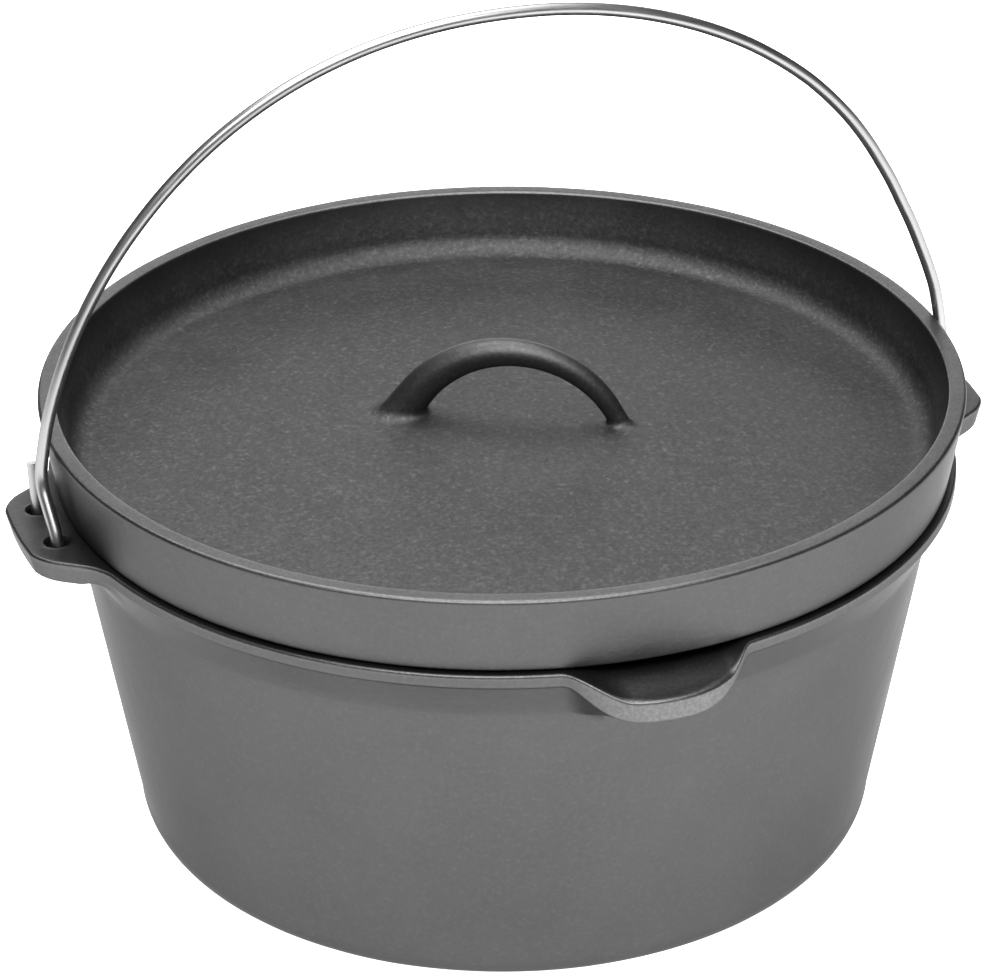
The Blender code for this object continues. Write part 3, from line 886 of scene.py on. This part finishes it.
def make_lid(turn_tree, skin_tree, iron):
    section = lid_section()
    points = [tuple(np.array((r, 0.0, z)) * MM) for r, z in section]
    mesh = bpy.data.meshes.new("lid_section")
    mesh.from_pydata(points, [(i, i + 1) for i in range(len(points) - 1)], [])
    shell = run_tree(new_object("lid_section", mesh), turn_tree, steps_round=360)
    handle, patch = make_handle_and_patch()
    lid = joined("lid_casting", shell, handle, patch)
    close_up(lid, 0.02)
    places = np.array([v.co for v in lid.data.vertices]) / MM
    radius = np.hypot(places[:, 0], places[:, 1])
    brim = np.clip(1 - (LID_TOP - places[:, 2]) / 1.2, 0, 1) * (radius > LID_INNER_RADIUS - 2)
    on_handle = np.clip((places[:, 2] - dome_height(radius) - 1.5) / 4, 0, 1) * (radius < LID_PATCH_RADIUS)
    # The brim's top and the handle are lightened: rubbing wear and a painted highlight.
    add_attribute(lid, "wear_and_sheen", np.maximum(0.8 * brim, 0.2 * on_handle))
    add_attribute(lid, "skin", np.ones(len(places)))
    above_plate = places[:, 2] > LID_DISH_MIDDLE - LID_DOME_RISE - 0.5
    dish = np.clip((LID_INNER_RADIUS - radius) / 2, 0, 1) * above_plate
    add_attribute(lid, "open_sand", CLOSED_SAND + dish * (0.6 - 0.3 * on_handle))
    run_tree(
        lid,
        skin_tree,
        wave_depth=WAVE_DEPTH * MM,
        wave_length=WAVE_LENGTH * MM,
        pit_depth=PIT_DEPTH * MM,
        pit_length=PIT_LENGTH * MM,
        seed=11.0,
        material=iron,
    )
    shade(lid, SHARP_EDGE)
    return lid


# Bail wire


def arch_half_width(height):
    share = min(height / BAIL_HEIGHT, 1.0)
    return BAIL_HALF_WIDTH * (1 - share**BAIL_SQUARENESS) ** (1 / BAIL_SQUARENESS)


def hand_bend(x, height):
    """The wire isn't bent evenly: its right side is drawn in above the lid, its left side halfway up."""
    if x > 0:
        return np.interp(height, BEND_HEIGHTS, BEND_RIGHT)
    return np.interp(height, BEND_HEIGHTS, BEND_LEFT)


def bail_path():
    """The wire's middle from one cut tip to the other, round both ears' webs and over the top."""
    right = []
    for rise in np.linspace(EAR_THICKNESS / 2 + BAIL_END_RISE, EAR_THICKNESS / 2 + WIRE / 2, 8):
        right.append((EAR_HOLE_X, RING_RADIUS + rise * math.tan(BAIL_END_LEAN), rise))
    steps = 40
    for i in range(steps + 1):
        turn = -(math.pi + BAIL_LEAN) * i / steps
        right.append((EAR_HOLE_X, RING_RADIUS * math.cos(turn), RING_RADIUS * math.sin(turn)))
    leg_start = Vector(right.pop())
    bend_height = RING_RADIUS / math.sin(BAIL_LEAN)
    bend = Vector((arch_half_width(bend_height), 0.0, bend_height))
    onward_height = bend_height + BAIL_BEND
    onward = Vector((arch_half_width(onward_height), 0.0, onward_height))
    reach = 0.6 * BAIL_BEND
    before = bend + (leg_start - bend).normalized() * reach
    after = bend + (onward - bend).normalized() * reach
    for t in np.linspace(0, 1, 5, endpoint=False):
        right.append(tuple(leg_start.lerp(before, t)))
    for t in np.linspace(0, 1, 12):
        right.append(tuple(before * (1 - t) ** 2 + bend * 2 * t * (1 - t) + after * t**2))
    first = math.asin((onward_height / BAIL_HEIGHT) ** (BAIL_SQUARENESS / 2))
    arch = []
    for turn in np.linspace(first, math.pi - first, 181):
        across = math.copysign(abs(math.cos(turn)) ** (2 / BAIL_SQUARENESS), math.cos(turn))
        arch.append((BAIL_HALF_WIDTH * across, 0.0, BAIL_HEIGHT * math.sin(turn) ** (2 / BAIL_SQUARENESS)))
    left = [(-x, y, z) for x, y, z in reversed(right)]
    return [(x + hand_bend(x, z), y, z + EAR_MIDDLE) for x, y, z in right + arch + left]


def make_bail(tree, steel):
    path = bail_path()
    curve = bpy.data.curves.new("bail_wire", "CURVE")
    curve.dimensions = "3D"
    spline = curve.splines.new("POLY")
    spline.points.add(len(path) - 1)
    for i, place in enumerate(path):
        spline.points[i].co = (*(Vector(place) * MM), 1.0)
    bail = run_tree(
        new_object("bail_wire", curve),
        tree,
        wire_diameter=WIRE * MM,
        sides=WIRE_SIDES,
        material=steel,
    )
    # Where each point of the skin is, round the wire and along it, for the die's scratches.
    lengths = np.linalg.norm(np.diff(np.array(path), axis=0), axis=1)
    along = np.repeat(np.concatenate([[0.0], np.cumsum(lengths)]), WIRE_SIDES) / DRAWN_LENGTH
    around = np.radians(360 / WIRE_SIDES) * np.tile(np.arange(WIRE_SIDES), len(path))
    drawn = bail.data.attributes.new("drawn", "FLOAT_VECTOR", "POINT")
    drawn.data.foreach_set("vector", np.column_stack([np.cos(around), np.sin(around), along]).ravel())
    close_up(bail)
    shade(bail, SHARP_EDGE)
    return bail


# Camera and studio


def make_camera():
    """The camera at the photograph's viewing angle."""
    data = bpy.data.cameras.new("photo_camera")
    data.lens = 193.69
    data.sensor_width = 36.0
    data.clip_start = 0.05
    data.clip_end = 20.0
    camera = new_object("photo_camera", data)
    forward = Vector((0.2836, 0.8379, -0.4663)).normalized()
    across = forward.cross(Vector((0, 0, 1))).normalized()
    up = across.cross(forward)
    roll = math.radians(-0.442)
    right = across * math.cos(roll) + up * math.sin(roll)
    top = up * math.cos(roll) - across * math.sin(roll)
    turned = Matrix((right, top, -forward)).transposed().to_4x4()
    camera.matrix_world = Matrix.Translation(Vector((-428.26, -1255.93, 799.09)) * MM) @ turned
    bpy.context.scene.camera = camera


def add_softbox(name, place, target, width, height, watts):
    data = bpy.data.lights.new(name, "AREA")
    data.shape = "RECTANGLE"
    data.size = width
    data.size_y = height
    data.energy = watts
    light = new_object(name, data)
    light.location = place
    light.rotation_euler = (Vector(target) - Vector(place)).to_track_quat("-Z", "Y").to_euler()
    return light


def make_studio():
    """A light table under soft boxes, in a dim room."""
    far = FLOOR_HALF_WIDTH
    corners = [(-far, -far, 0), (far, -far, 0), (far, far, 0), (-far, far, 0)]
    floor = mesh_object("floor", corners, [(0, 1, 2, 3)])
    material, tree, shader = new_material("opal_acrylic_light_table")
    shader.inputs["Base Color"].default_value = linear("e8e8e8")
    shader.inputs["Roughness"].default_value = 0.9
    shader.inputs["Specular IOR Level"].default_value = 0.0
    shader.inputs["Emission Color"].default_value = (1, 1, 1, 1)
    # The lamps under the sheet burn stronger on the right, which shapes the pot's plain wall.
    place = add(tree, "ShaderNodeTexCoord").outputs["Object"]
    across = add(tree, "ShaderNodeSeparateXYZ", Vector=place).outputs["X"]
    glow = add(tree, "ShaderNodeMapRange", Value=across, _1=-0.35, _2=0.35, _3=GLOW_LEFT, _4=GLOW_RIGHT)
    tree.links.new(glow.outputs[0], shader.inputs["Emission Strength"])
    floor.data.materials.append(material)
    world = bpy.data.worlds.new("studio_air")
    world.use_nodes = True
    background = world.node_tree.nodes["Background"]
    background.inputs["Color"].default_value = (1, 1, 1, 1)
    background.inputs["Strength"].default_value = AIR
    bpy.context.scene.world = world
    add_softbox("overhead_softbox", (0.0, 0.2, 1.6), (0, 0, 0.1), 1.4, 1.4, OVERHEAD_WATTS)
    add_softbox("back_softbox", (0.0, 1.0, 1.5), (0, 0, 0.1), 1.4, 0.9, BACK_WATTS)
    add_softbox("back_screen", (0.6, 1.75, 0.42), (0, 0, 0.12), 1.6, 0.8, SCREEN_WATTS)
    add_softbox("front_softbox", (-0.35, -1.0, 1.5), (0, 0, 0.1), 1.7, 0.9, FRONT_WATTS)
    bpy.context.scene.view_settings.view_transform = "Standard"


def main():
    make_camera()
    make_studio()
    skin_tree = cast_skin_tree()
    pot_iron = seasoned_iron("seasoned_sand_cast_iron_pot", 2.0, "484848", "4e4e4e", 0.43)
    lid_iron = seasoned_iron("seasoned_sand_cast_iron_lid", 7.0, "484848", "4e4e4e", 0.43)
    pieces = (
        (make_pot(skin_tree, pot_iron), "pot", "pot_iron"),
        (make_lid(turning_tree(), skin_tree, lid_iron), "lid", "lid_iron"),
        (make_bail(wire_tree(), bright_wire()), "bail", "bail_wire"),
    )
    for piece, body, slot in pieces:
        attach(piece, body)
        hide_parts(body)


main()
